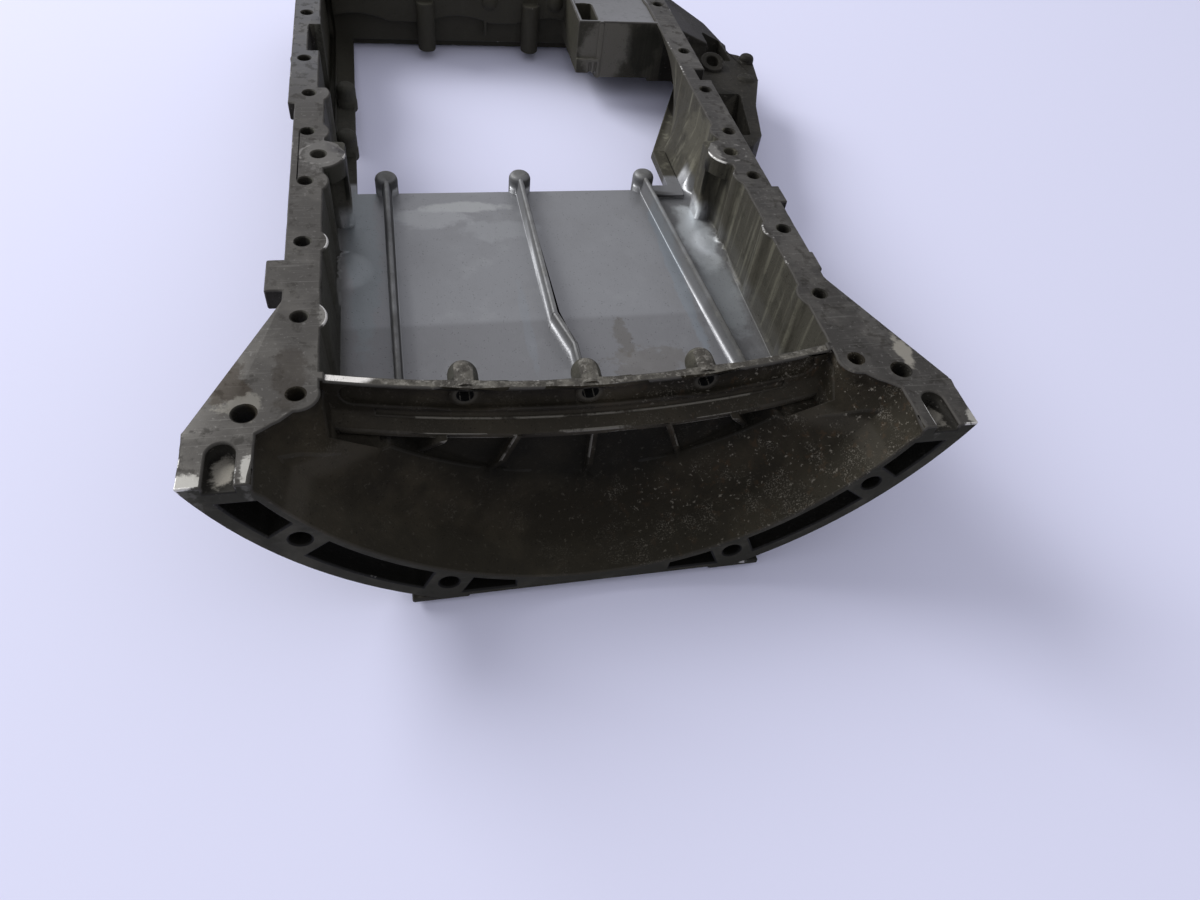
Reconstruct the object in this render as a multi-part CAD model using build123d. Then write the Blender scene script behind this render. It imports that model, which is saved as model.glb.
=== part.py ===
from build123d import *
import math
import os

os.makedirs("parts", exist_ok=True)

# Upper oil pan of a vee engine: one aluminium casting that bolts under the crankcase, carries the
# lower half of the bell housing at its rear and takes a small pressed sump under its floor opening.
# Sizes are in millimetres. Y positions below are taken from the bell-housing face, and the finished
# casting is then moved so that the origin is on the crankcase flange, midway between the two dowel
# holes. +X is to the right seen from the bell, +Y runs to the front of the engine, +Z is up.

# Overall
total_length = 480
crank_height = 64  # crankshaft axis above the crankcase flange
flange_thickness = 11
wall_thickness = 5.5
wall_draft = 1.5  # degrees
floor_depth = 46  # crankcase flange down to the floor of the rear bay
floor_thickness = 3.5
sump_flange_rise = 1.5  # how far the sump flange stands above the floor, inside

# Crankcase flange and its bolt holes
rail_hole_span = 250
rail_hole_diameter = 6.9
rail_inner_margin = 9  # hole line to the inner edge of the rail
rail_outer_margin = 8
rail_lobe_radius = 12
near_lobe_radius = 9.5  # the two bosses next to the bell
bolt_head_radius = 8.5
shared_rows = (45, 92.5, 147.5, 200, 249.5)
left_rows = (293,)
left_front_rows = (337, 402.5)
right_front_rows = (302.5, 357.5, 434.5)
left_front_shift = 3.75  # the two foremost left holes stand further out
left_front_start = 300  # and so does the inner edge of the rail, from here on
blind_hole_depth = 22
dowel_span = 237.6
dowel_row = 225.7
dowel_hole_diameter = 7.5
dowel_hole_depth = 14
dowel_boss_radius = 14
dowel_column_reach = 11  # inner edge of the rail to the column's inner face
dowel_column_start = 3  # hole row back to the column's near face
corner_hole_inset = 22.1  # hole centre in from the bell's corner
corner_hole_row = 36
corner_hole_diameter = 8.8
corner_lobe_radius = 11
lugs = ((-141, (111, 134)), (137, (173, 189)), (134.5, (112, 127)))  # outer x and y range
left_notch = (2, (348, 385))  # x past the rail's hole line, y range
right_notch = (0.5, (316, 331))

# Bell housing
bell_outer_radius = 178.3
bell_rim_width = 23.9
bell_throat_radius = 124
bell_waist_row = 41  # where the bowl has narrowed to the throat
throat_side_row = 32
throat_side_depth = 27
throat_side_slope = 8  # degrees
bell_shell = 6.5
bell_flat_drop = 16.3  # how much of the round the flat underneath takes off
bell_flange_length = 24
bell_bolt_inset = 14.55  # bolt circle in from the outer radius
bell_bolt_angles = (25.1, 51.4)  # degrees either side of straight down
bell_bolt_diameter = 8.8
bell_web_width = 20
bell_pocket_insets = (20, 7.3)
bell_pocket_depth = 19
bell_pocket_span = (38.5, -11, -94)  # inner x, top z and bottom z
bell_foot_reach = (14.5, 12.5)  # inwards and outwards from the end of the flat
bell_foot_height = 1.5
corner_slot_inset = 15.15  # slot centre in from the bell's corner
corner_slot_width = 10.8
corner_slot_length = 20
corner_slot_depth = 7.6
corner_slot_slope = 10.9  # degrees
wing_inner_inset = 27.1  # inner edge in from the bell's corner
wing_corner = (5.5, 31)  # x past the rail's hole line, y
wing_end = 103  # where the wing runs out into the rail
wing_shoulder = 26
wing_shoulder_radius = 14

# Wall between the bell and the rear bay
cross_wall_front = 40  # bell face to the wall's rim, at mid-width
cross_wall_thickness = 5
cross_wall_bow_radius = 540
cross_rim = (114, 62, 1.2)  # half width, front end, drop below the crankcase flange
cross_wall_groove = 1.6
cross_wall_groove_top = 16
cross_wall_groove_span = 190
cross_recess = (218, -3.2, -13.6, 5)  # width, top and bottom z, corner radius
cross_recess_depth = 2.5
cross_boss_columns = (-57, -2.5, 52)
cross_boss_depth = 7
cross_boss_radius = 6.7
cross_boss_reach = 7
cross_boss_face = 0.8  # how far its near face stands out of the recess
cross_boss_hole_diameter = 7.2
cross_boss_hole_depth = 12
shelf_reach = 6.5
shelf_span = 230
shelf_depth = 23
shelf_root = 31
shelf_edge = 3
gusset_angles = (-37.5, -21.5, 0, 21.5, 37.5)  # degrees about the crankshaft axis
gusset_thickness = 3
gusset_front_radius = 112  # about the crankshaft axis, where the front edge starts to slope
gusset_foot = 4  # how far it runs past the throat, outwards

# Floor ribs and sump bolt bosses
rib_base_width = 6
rib_top_width = 3.2
rib_height = 11
rib_hook = (4.5, 104)
rib_right_lean = 15  # how far the right rib leans out towards the bell
sump_boss_columns = (-85, -3, 78)
sump_boss_radius = 6.8
sump_boss_height = 12
side_boss_rows = (305, 367)
side_boss_x = -108
side_boss_radius = 6.5
side_boss_height = 15
sump_hole_diameter = 5
sump_hole_depth = 12
front_sump_columns = (-75, 12)
right_sump_boss = (112, 305)
floor_swell_radius = 60
floor_swell_height = 3
floor_swell_rows = (183, 198)
floor_fillet = 2.5

# Sump opening
opening_rear = 258
opening_left = 103
opening_right_rear = 95
opening_right_front = 139
opening_right_bend = 301
opening_front = 468
sump_flange_width = 14
sump_flange_land = 4
corner_band_rise = 3  # raised band round the right rear corner
corner_band_widths = (9, 11)  # along the right edge, along the rear edge
chamber_start = 25  # the wall starts to lean out this far in front of the bend

# Front wall
front_wall_y = 463
front_wall_thickness = 7
front_step_reach = 7
front_step_depth = 27
front_wave_columns = (-24, 44, -100)
front_wave_radius = 60
front_wave_height = 5
front_boss_pitch = 50
front_boss_depth = 11
front_boss_radius = 7
front_boss_hole_diameter = 6
front_boss_hole_depth = 20
front_columns = (-48, 31)
front_column_radius = 6.5

# Box in the right front corner
box_left = 58
box_left_depth = 37  # the part under the slot is shallower
box_depth = 41
box_rear = 401
box_rim = 3
box_lid_drop = 1.5
box_pocket_width = 12
box_pocket_length = 31
box_pocket_depth = 34
box_corner_rib = 4
box_foot = (18, 11, 2)  # width, height and reach
box_slot = (2, 8)

# Bracket outside the right wall
bracket_outline = (
    (117, 272), (140, 266), (155, 271), (165, 284), (174.5, 325), (188.5, 362), (193, 388),
    (186, 401), (177, 405), (180, 418), (170, 448), (140, 468), (117, 468),
)
bracket_depth = 22
bracket_block = ((117, 398), (176, 402), (180, 418), (170, 448), (140, 468), (117, 468))
bracket_block_depth = 3
bracket_block_slope = 23  # degrees
bracket_recess = ((158, 159, 175, 176), (391, 422, 422, 391))
bracket_pocket = ((138, 138, 167, 157), (284, 340, 340, 284))
bracket_gap = ((136, 136, 144, 144), (352, 370, 370, 352))
bracket_floor = 6
bracket_corner_radius = 5
ring_boss = (157, 380)
ring_boss_radius = 9
ring_boss_depth = 17
ring_boss_hole_diameter = 9.5
ring_boss_tilt = 20  # degrees
bracket_bosses = ((188, 391, 17, 5.5), (179, 363, 20, 8))  # x, y, depth of the top, radius

# Values worked out from the sizes above
rail_half = rail_hole_span / 2
inner_x = rail_half - rail_inner_margin
outer_x = rail_half + rail_outer_margin
wall_x = inner_x + wall_thickness
floor_z = -floor_depth
underside_z = floor_z - floor_thickness
sump_flange_depth = floor_depth + floor_thickness  # the sealing face is level with the underside
sump_flange_top = floor_z + sump_flange_rise
bow_axis_y = cross_wall_front + cross_wall_bow_radius
bell_inner_radius = bell_outer_radius - bell_rim_width
bell_bolt_radius = bell_outer_radius - bell_bolt_inset
bell_corner_x = math.sqrt(bell_outer_radius**2 - crank_height**2)
bell_depth = bell_outer_radius - crank_height - bell_flat_drop
bell_flat_end = math.sqrt(bell_outer_radius**2 - (bell_depth + crank_height) ** 2)
corner_hole_x = bell_corner_x - corner_hole_inset
wing_inner_x = bell_corner_x - wing_inner_inset
pan_rear = cross_wall_front - wall_thickness
pan_front = front_wall_y + front_wall_thickness
throat_depth = bell_throat_radius - crank_height
wing_edge = (
    (inner_x, shared_rows[0]),
    (rail_half + wing_corner[0], wing_corner[1]),
    (wing_inner_x, corner_hole_row - corner_lobe_radius),
)
throat_centre_z = (inner_x**2 - throat_depth**2) / (2 * throat_depth)
crank_axis = Axis((0, 0, crank_height), (0, 1, 0))


def lobe_radius(row):
    return near_lobe_radius if row == shared_rows[0] else rail_lobe_radius


def both_sides(shape):
    return shape + mirror(shape, about=Plane.YZ)


def block(x_range, y_range, z_range):
    spans = (x_range, y_range, z_range)
    size = [max(span) - min(span) for span in spans]
    centre = [sum(span) / 2 for span in spans]
    return Pos(*centre) * Box(*size)


def post(x, y, top, bottom, radius):
    return Pos(x, y, (top + bottom) / 2) * Cylinder(radius, top - bottom)


def dome(x, y, top, bottom, radius):
    boss = post(x, y, top, bottom, radius)
    return fillet(boss.edges().sort_by(Axis.Z)[-1], 0.6 * radius)


def prism(points, top, bottom, corner_radius=0.0):
    face = make_face(Polyline(*points, close=True))
    if corner_radius:
        face = fillet(face.vertices(), corner_radius)
    return extrude(Pos(0, 0, bottom) * face, amount=top - bottom)


def pin(x, z, start, end, radius):
    # a round bar along Y
    return Pos(x, (start + end) / 2, z) * Rot(90, 0, 0) * Cylinder(radius, abs(end - start))


def slab(sketch, start, end):
    # a sketch drawn with x across and y up, stood upright and run along Y from start to end
    upright = Plane((0, start, 0), x_dir=(1, 0, 0), z_dir=(0, -1, 0))
    return extrude(upright * sketch, amount=start - end)


def turned(profile):
    # (y, radius) points turned about the crankshaft axis
    points = [(0, y, crank_height - radius) for y, radius in profile]
    return revolve(make_face(Polyline(*points, close=True)), crank_axis, 360)


def behind_bow(offset):
    # everything forward of an arc parallel to the front of the cross wall
    radius = cross_wall_bow_radius - offset
    return post(0, bow_axis_y, flange_thickness, -2 * bell_depth, radius)


# Hole positions on the crankcase flange
rail_holes = [(side * rail_half, row) for row in shared_rows for side in (-1, 1)]
rail_holes += [(-rail_half, row) for row in left_rows]
rail_holes += [(-rail_half - left_front_shift, row) for row in left_front_rows]
rail_holes += [(rail_half, row) for row in right_front_rows]
corner_holes = [(side * corner_hole_x, corner_hole_row) for side in (-1, 1)]
dowel_holes = [(side * dowel_span / 2, dowel_row) for side in (-1, 1)]

# Outline of the sump opening, the right edge leaning out towards the front
opening_plan = [
    (-opening_left, opening_rear),
    (opening_right_rear, opening_rear),
    (opening_right_rear, opening_right_bend),
    (opening_right_front, box_rear + box_rim),
    (opening_right_front, opening_front),
    (-opening_left, opening_front),
]
rear_bosses = [(x, opening_rear + 2) for x in sump_boss_columns]
side_bosses = [(side_boss_x, row) for row in side_boss_rows]
front_bosses = [(x, (opening_front + total_length) / 2) for x in front_sump_columns]
sump_holes = rear_bosses + side_bosses + front_bosses + [right_sump_boss]


def crankcase_flange():
    middle = (inner_x + outer_x) / 2
    width = outer_x - inner_x
    rail = Pos(middle, (corner_hole_row + total_length) / 2)
    rail *= Rectangle(width, total_length - corner_hole_row)
    shoulder = (bell_corner_x + 0.5, wing_shoulder)
    wing = make_face(
        Polyline(
            (wing_inner_x, 0),
            (bell_corner_x, 0),
            shoulder,
            (outer_x, wing_end),
            (inner_x, wing_end),
            *wing_edge,
            close=True,
        )
    )
    corner = wing.vertices().sort_by_distance(Vector(*shoulder))[0]
    plan = rail + fillet(corner, wing_shoulder_radius)
    plan += mirror(plan, about=Plane.YZ)
    front_width = total_length - front_wall_y
    plan += Pos(0, total_length - front_width / 2) * Rectangle(2 * outer_x, front_width)
    left_length = total_length - left_rows[0] + rail_lobe_radius
    left_rail = Pos(-middle - left_front_shift, total_length - left_length / 2)
    plan += left_rail * Rectangle(width, left_length)
    for x, y in rail_holes[:-1]:
        # a boss bulges into the pan only, so its outer side is cut off level with the rail
        side = math.copysign(rail_lobe_radius - rail_outer_margin, x)
        keep = Pos(x - side, y) * Rectangle(2 * rail_lobe_radius, 2 * rail_lobe_radius)
        plan += Pos(x, y) * Circle(lobe_radius(y)) & keep
    x, y = rail_holes[len(rail_holes) - len(right_front_rows) - len(left_front_rows)]
    plan += Pos(x, y) * Circle(bolt_head_radius)
    for x, y in corner_holes:
        plan += Pos(x, y) * Circle(corner_lobe_radius)
    for x, y in dowel_holes:
        plan += Pos(x, y) * Circle(dowel_boss_radius)
    for x, span in lugs:
        start = inner_x if x > 0 else -inner_x
        plan += Pos((start + x) / 2, sum(span) / 2) * Rectangle(abs(x - start), span[1] - span[0])
    within_bell = pin(0, crank_height, 0, total_length, bell_outer_radius)
    return extrude(plan, amount=-flange_thickness) & within_bell


def tapered_pan(half_width, rear, front, depth):
    plan = Pos(0, (rear + front) / 2) * Rectangle(2 * half_width, front - rear)
    return extrude(plan, amount=-depth, taper=wall_draft)


def bay_cavity():
    # the foot of the wall is rounded as far as the sump opening
    plain = tapered_pan(inner_x, 0, front_wall_y, floor_depth)
    foot = plain.faces().sort_by(Axis.Z)[0]
    rounded = fillet(foot.edges(), floor_fillet)
    at_opening = block((-wall_x, wall_x), (opening_rear, front_wall_y), (-floor_depth, 0))
    return (rounded + (plain & at_opening)) & behind_bow(cross_wall_thickness)


def chamber():
    # the right wall leans out in front, so the pan is wider at the sump than at the rail
    foot = opening_right_front + sump_flange_land
    rear = opening_right_bend + chamber_start
    start = inner_x - 2 * wall_thickness
    top = [(start, rear), (inner_x, rear), (inner_x, box_rear), (start, box_rear)]
    base = [(start, rear), (inner_x - 1, rear), (foot, box_rear), (start, box_rear)]
    upper = make_face(Polyline(*top, close=True))
    lower = Pos(0, 0, floor_z) * make_face(Polyline(*base, close=True))
    return loft([upper, lower], ruled=True)


def leaning_foot():
    # beside the opening the right wall leans inwards, before it starts to lean out
    row = opening_right_bend + chamber_start
    width = opening_right_rear + corner_band_widths[0]
    outer = wall_x - 1
    rows = (dowel_row + dowel_boss_radius, opening_rear, opening_right_bend + sump_flange_land, row)
    top = [(outer - 1, y) for y in rows] + [(outer, row), (outer, rows[0])]
    base = [(inner_x - 1, rows[0]), (width, rows[1]), (width, rows[2]), (inner_x, row)] + top[4:]
    upper = Pos(0, 0, -flange_thickness / 2) * make_face(Polyline(*top, close=True))
    lower = Pos(0, 0, floor_z) * make_face(Polyline(*base, close=True))
    return loft([upper, lower], ruled=True)


def sump_flange():
    plan = make_face(Polyline(*opening_plan, close=True))
    plan = offset(plan, sump_flange_width, kind=Kind.INTERSECTION)
    plan &= Pos(0, total_length / 2) * Rectangle(4 * rail_half, total_length)
    height = sump_flange_depth + sump_flange_top
    band = extrude(Pos(0, 0, -sump_flange_depth) * plan, amount=height)
    return band


def corner_band():
    right, rear = corner_band_widths
    end = opening_right_bend
    plan = make_face(
        Polyline(
            (sump_boss_columns[-1], opening_rear),
            (sump_boss_columns[-1], opening_rear - rear),
            (opening_right_rear + right, opening_rear - rear),
            (opening_right_rear + right, end),
            (opening_right_rear, end),
            (opening_right_rear, opening_rear),
            close=True,
        )
    )
    height = sump_flange_depth - floor_depth + corner_band_rise
    return extrude(Pos(0, 0, -sump_flange_depth) * plan, amount=height)


def bell_outside():
    end_row = bell_waist_row + 3 * bell_shell
    profile = [
        (0, 0),
        (0, bell_outer_radius),
        (bell_flange_length, bell_outer_radius),
        (bell_flange_length, bell_inner_radius + bell_shell),
        (bell_waist_row, bell_throat_radius + 1.8 * bell_shell),
        (end_row, bell_throat_radius - bell_shell),
        (end_row, 0),
    ]
    wide = 2 * bell_outer_radius
    solid = turned(profile) & block((-wide, wide), (0, wide), (-bell_depth, 0))
    inwards, outwards = bell_foot_reach
    span = (bell_flat_end - inwards, bell_flat_end + outwards)
    foot = block(span, (0, bell_flange_length), (-bell_depth - bell_foot_height, bell_foot_height - bell_depth))
    return solid + both_sides(foot)


def bell_cavity():
    bowl = turned(
        [
            (-1, 0),
            (-1, bell_inner_radius),
            (0, bell_inner_radius),
            (bell_flange_length - 2, bell_inner_radius - 2),
            (bell_flange_length + 3, bell_inner_radius - 12),
            (bell_waist_row - 5, bell_throat_radius + 6),
            (bell_waist_row, bell_throat_radius),
            (bell_waist_row, 0),
        ]
    )
    throat = pin(0, throat_centre_z, bell_flange_length, wing_end, throat_centre_z + throat_depth)
    outline = [(wing_inner_x, -bell_flange_length), *reversed(wing_edge), (inner_x, wing_end)]
    outline += [(-x, y) for x, y in reversed(outline)]
    edge = make_face(Polyline(*outline, close=True))
    relief = extrude(edge, amount=-flange_thickness / 2)
    relief += extrude(Pos(0, 0, -flange_thickness / 2) * edge, amount=-2 * flange_thickness, taper=45)
    sides = Pos(0, (throat_side_row + wing_end) / 2) * Rectangle(2 * inner_x, wing_end - throat_side_row)
    relief += extrude(sides, amount=-throat_side_depth, taper=throat_side_slope)
    wide = 2 * bell_outer_radius
    below = block((-wide, wide), (-wide, wide), (-wide, 0))
    return (bowl + throat + relief) & below - behind_bow(0)


def shelf():
    # the ledge across the bell side of the cross wall, thin at its edge
    radius = cross_wall_bow_radius
    upright = Plane((0, bow_axis_y, 0), x_dir=(0, -1, 0), z_dir=(-1, 0, 0))
    profile = make_face(
        Polyline(
            (radius - 1, shelf_edge - shelf_depth),
            (radius + shelf_reach, -shelf_depth),
            (radius + shelf_reach, -shelf_depth - shelf_edge),
            (radius - 1, -shelf_root),
            close=True,
        )
    )
    half_angle = math.degrees(math.asin(shelf_span / 2 / radius))
    axis = Axis((0, bow_axis_y, 0), (0, 0, 1))
    return revolve((upright * profile).rotate(axis, -half_angle), axis, 2 * half_angle)


def gussets():
    # three-cornered webs, from the shelf's edge down to the end of the throat
    front = cross_wall_front - shelf_reach + 0.5
    rear = bell_waist_row + bell_shell
    reach = bell_throat_radius + gusset_foot
    limit = turned([(front, 0), (front, gusset_front_radius), (bell_waist_row, reach), (rear, reach), (rear, 0)])
    limit &= block((-inner_x, inner_x), (0, wing_end), (-bell_depth, -shelf_depth - 1))
    webs = Part()
    for angle in gusset_angles:
        web = Pos(0, (front + rear) / 2, -reach / 2) * Box(gusset_thickness, rear - front, reach)
        webs += Pos(0, 0, crank_height) * Rot(0, -angle, 0) * web
    return webs & limit


def cross_wall_grooves():
    ring = behind_bow(-1) - behind_bow(cross_wall_groove)
    span = (-cross_wall_groove_span / 2, cross_wall_groove_span / 2)
    groove = ring & block(span, (0, wing_end), (-shelf_depth + shelf_edge, -cross_wall_groove_top))
    width, top, bottom, radius = cross_recess
    band = slab(Pos(0, (top + bottom) / 2) * RectangleRounded(width, top - bottom, radius), 0, wing_end)
    half_width, front, drop = cross_rim
    rim = block((-half_width, half_width), (pan_rear - 1, front), (-drop, 1))
    return groove + rim + ((behind_bow(-1) - behind_bow(cross_recess_depth)) & band)


def cross_boss(x):
    front = cross_wall_front + x * x / (2 * cross_wall_bow_radius) + cross_recess_depth - cross_boss_face
    rear = front + cross_wall_thickness + cross_boss_reach
    boss = pin(x, -cross_boss_depth, front, rear, cross_boss_radius)
    boss += Pos(x, rear, -cross_boss_depth) * Sphere(cross_boss_radius)
    return boss & block((-inner_x, inner_x), (0, wing_end), (-floor_depth, 0))


def rib(points):
    # a floor rib with sloping sides and a rounded top, run through a list of points
    half_base = rib_base_width / 2
    half_top = rib_top_width / 2
    height = rib_height - half_top
    corners = [(-half_base, -1), (half_base, -1), (half_top, height), (-half_top, height)]
    profile = make_face(Polyline(*corners, close=True)) + Pos(0, height) * Circle(half_top)
    solid = Part()
    for start, end in zip(points, points[1:]):
        run = Vector(end[0] - start[0], end[1] - start[1], 0)
        place = Plane((start[0], start[1], floor_z), x_dir=(-run.Y, run.X, 0), z_dir=(run.X, run.Y, 0))
        solid += extrude(place * profile, amount=run.length)
    return solid


def floor_ribs():
    start = cross_wall_front + cross_wall_thickness
    left, middle, right = sump_boss_columns
    solid = rib([(left, start + 2 * rib_base_width), (left, opening_rear)])
    hook_x, hook_y = rib_hook
    hook_end = (middle + 1, hook_y + 4 * rib_base_width)
    solid += rib([(hook_x, start), (hook_x, hook_y), hook_end, (middle, opening_rear)])
    solid += rib([(right + rib_right_lean, start + rib_base_width), (right, opening_rear)])
    solid += rib([(right + rib_right_lean, start + 1), (right + rib_right_lean, start + rib_base_width)])
    return solid


def bolt_columns():
    # the rail bosses carried on down the inside of the walls
    columns = Part()
    pan = tapered_pan(wall_x, pan_rear, pan_front, -underside_z)
    for x, y in rail_holes[: -len(right_front_rows)]:
        near_bell = y < pan_rear + rail_lobe_radius
        column = post(x, y, 0, underside_z, lobe_radius(y))
        if near_bell:
            columns += column & block((-2 * wall_x, 2 * wall_x), (0, total_length), (-2 * flange_thickness, 0))
        else:
            columns += column & pan
    for x, y in dowel_holes:
        columns += post(x, y, 0, -flange_thickness, dowel_boss_radius)
    inner = inner_x - dowel_column_reach
    for side in (-1, 1):
        rows = (dowel_row - dowel_column_start, dowel_row + dowel_boss_radius)
        column = block((side * inner, side * (outer_x - 1)), rows, (underside_z, -1))
        columns += fillet(column.edges().filter_by(Axis.Z), 2.5) & pan
    for x, y in corner_holes:
        columns += post(x, y, 0, -2 * flange_thickness, corner_lobe_radius)
    return columns


def floor_swellings():
    cap = Pos(0, 0, floor_z + floor_swell_height - floor_swell_radius) * Sphere(floor_swell_radius)
    left_row, right_row = floor_swell_rows
    pair = Pos(-inner_x + floor_swell_height, left_row) * cap
    pair += Pos(inner_x - floor_swell_height, right_row) * cap
    inside = wall_x - wall_thickness / 2 - floor_depth * math.tan(math.radians(wall_draft))
    return pair & block((-inside, inside), (0, opening_rear - floor_fillet), (underside_z, 0))


def front_details():
    rear = front_wall_y - front_step_reach
    step = block((-inner_x, box_left + box_rim), (rear, front_wall_y + 1), (-front_step_depth, 0))
    for x in front_wave_columns:
        centre = -front_step_depth - front_wave_radius + front_wave_height
        step -= pin(x, centre, 0, total_length, front_wave_radius)
    for number in (-1, 0, 1):
        x = number * front_boss_pitch
        step += pin(x, -front_boss_depth, rear + 3, total_length, front_boss_radius)
        step += Pos(x, rear + 3, -front_boss_depth) * Sphere(front_boss_radius)
    for x in front_columns:
        step += post(x, rear - 2, -front_boss_depth, floor_z, front_column_radius)
    step += block((-4, -2), (rear, front_wall_y + 1), (-front_step_depth - 9, -front_step_depth + 9))
    return step


def box_outside():
    right = inner_x + wall_thickness
    rib_x = box_left + box_pocket_width + box_rim
    walls = block((rib_x, right), (box_rear, pan_front), (-box_depth, 0))
    walls += block((box_left, rib_x), (box_rear, pan_front), (-box_left_depth, 0))
    rib_span = (rib_x, rib_x + box_corner_rib)
    walls += block(rib_span, (box_rear - 1, box_rear + 1), (-box_depth, 0))
    width, height, reach = box_foot
    foot = (box_rear - reach, box_rear + 1)
    walls += block((box_left, box_left + width), foot, (-box_left_depth, height - box_left_depth))
    slot_width, slot_height = box_slot
    for number in (1, 2):
        x = box_left + width - 2 * number * slot_width
        slot = (x, x + slot_width)
        walls -= block(slot, (0, box_rear), (-box_depth, slot_height - box_left_depth))
    return walls


def box_hollows():
    left = box_left + box_rim
    rear = box_rear + box_rim
    pocket_right = left + box_pocket_width
    lid = prism(
        [(left, rear), (inner_x + 4, rear), (inner_x - 1, rear + 36), (inner_x - 1, front_wall_y)]
        + [(left, front_wall_y)],
        1,
        -box_lid_drop,
    )
    pocket = block((left, pocket_right), (rear, rear + box_pocket_length), (-box_pocket_depth, 1))
    under = block(
        (pocket_right + box_rim, inner_x),
        (rear + 1, front_wall_y),
        (-sump_flange_depth - 1, -flange_thickness),
    )
    pocket = fillet(pocket.edges().filter_by(Axis.Z), 2)
    return lid + pocket + fillet(under.edges().filter_by(Axis.Z), 4)


def bracket():
    body = prism(bracket_outline, -bracket_depth, -sump_flange_depth, bracket_corner_radius)
    upper = prism(bracket_block, 0, -sump_flange_depth, bracket_corner_radius)
    slope = Pos(outer_x, 0, -bracket_block_depth) * Rot(0, bracket_block_slope, 0)
    slope *= Pos(0, total_length / 2, bell_depth / 2) * Box(2 * bell_depth, 2 * total_length, bell_depth)
    body += upper - slope
    for x, y, depth, radius in bracket_bosses:
        body += dome(x, y, -depth, -sump_flange_depth, radius)
    x, y = ring_boss
    body += post(x, y, -bracket_depth, -sump_flange_depth, ring_boss_radius + 3)
    tilted = Pos(x, y, -ring_boss_depth) * Rot(ring_boss_tilt, 0, 0)
    body += tilted * Pos(0, 0, -ring_boss_radius) * Cylinder(ring_boss_radius, 2 * ring_boss_radius)
    body -= tilted * Pos(0, 0, -ring_boss_radius / 2) * Cylinder(ring_boss_hole_diameter / 2, 2 * ring_boss_radius)
    low = bracket_floor - sump_flange_depth
    for columns, rows in (bracket_recess, bracket_pocket, bracket_gap):
        body -= prism(list(zip(columns, rows)), 1, low, bracket_corner_radius / 2)
    return body


def bell_pockets():
    inner, outer = [bell_outer_radius - inset for inset in bell_pocket_insets]
    inner_side, top, bottom = bell_pocket_span
    ring = Pos(0, crank_height) * (Circle(outer) - Circle(inner))
    window = Pos(inner_side + outer / 2, (top + bottom) / 2) * Rectangle(outer, top - bottom)
    ring &= window
    for angle in bell_bolt_angles:
        web = Rot(0, 0, angle) * Pos(0, -bell_bolt_radius) * Rectangle(bell_web_width, 2 * bell_web_width)
        ring -= Pos(0, crank_height) * web
    return both_sides(slab(ring, -1, bell_pocket_depth))


def corner_slots():
    x = bell_corner_x - corner_slot_inset
    radius = corner_slot_width / 2
    plan = Pos(x, corner_slot_length - radius) * Circle(radius)
    plan += Pos(x, (corner_slot_length - radius) / 2 - radius) * Rectangle(2 * radius, corner_slot_length + radius)
    tool = extrude(Pos(0, 0, -corner_slot_depth) * plan, amount=4 * corner_slot_depth)
    pivot = Axis((0, corner_slot_length, -corner_slot_depth), (1, 0, 0))
    return both_sides(tool.rotate(pivot, -corner_slot_slope))


def holes():
    cuts = Part()
    for x, y in rail_holes:
        blind = x > 0 and y in right_front_rows
        near_bell = y < pan_rear + rail_lobe_radius
        bottom = -blind_hole_depth if blind else -3 * flange_thickness
        cuts += post(x, y, 1, bottom, rail_hole_diameter / 2)
        if not blind and not near_bell:
            cuts += post(x, y, -flange_thickness, -bell_depth, bolt_head_radius)
    for x, y in corner_holes:
        cuts += post(x, y, 1, -3 * flange_thickness, corner_hole_diameter / 2)
    for x, y in dowel_holes:
        cuts += post(x, y, 1, -dowel_hole_depth, dowel_hole_diameter / 2)
        cuts += Pos(x, y) * Cone(dowel_hole_diameter / 2 - 1, dowel_hole_diameter / 2 + 1, 2)
    for x in cross_boss_columns:
        cuts += pin(x, -cross_boss_depth, 0, cross_wall_front + cross_boss_hole_depth, cross_boss_hole_diameter / 2)
    for angle in bell_bolt_angles:
        turn = math.radians(angle)
        x = bell_bolt_radius * math.sin(turn)
        z = crank_height - bell_bolt_radius * math.cos(turn)
        cuts += both_sides(pin(x, z, -1, bell_flange_length + 1, bell_bolt_diameter / 2))
    for number in (-1, 0, 1):
        start = total_length - front_boss_hole_depth
        x = number * front_boss_pitch
        cuts += pin(x, -front_boss_depth, start, total_length + 1, front_boss_hole_diameter / 2)
    for x, y in sump_holes:
        top = sump_hole_depth - sump_flange_depth
        cuts += post(x, y, top, -sump_flange_depth - 1, sump_hole_diameter / 2)
    cuts += block(
        (-inner_x - left_front_shift, -inner_x + 1),
        (left_front_start, front_wall_y),
        (sump_flange_top, 1),
    )
    past, span = left_notch
    cuts += block((-rail_half - past, -inner_x + 1), span, (sump_flange_top, 1))
    past, span = right_notch
    cuts += block((rail_half + past, 2 * rail_half), span, (-flange_thickness, 1))
    return cuts


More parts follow.
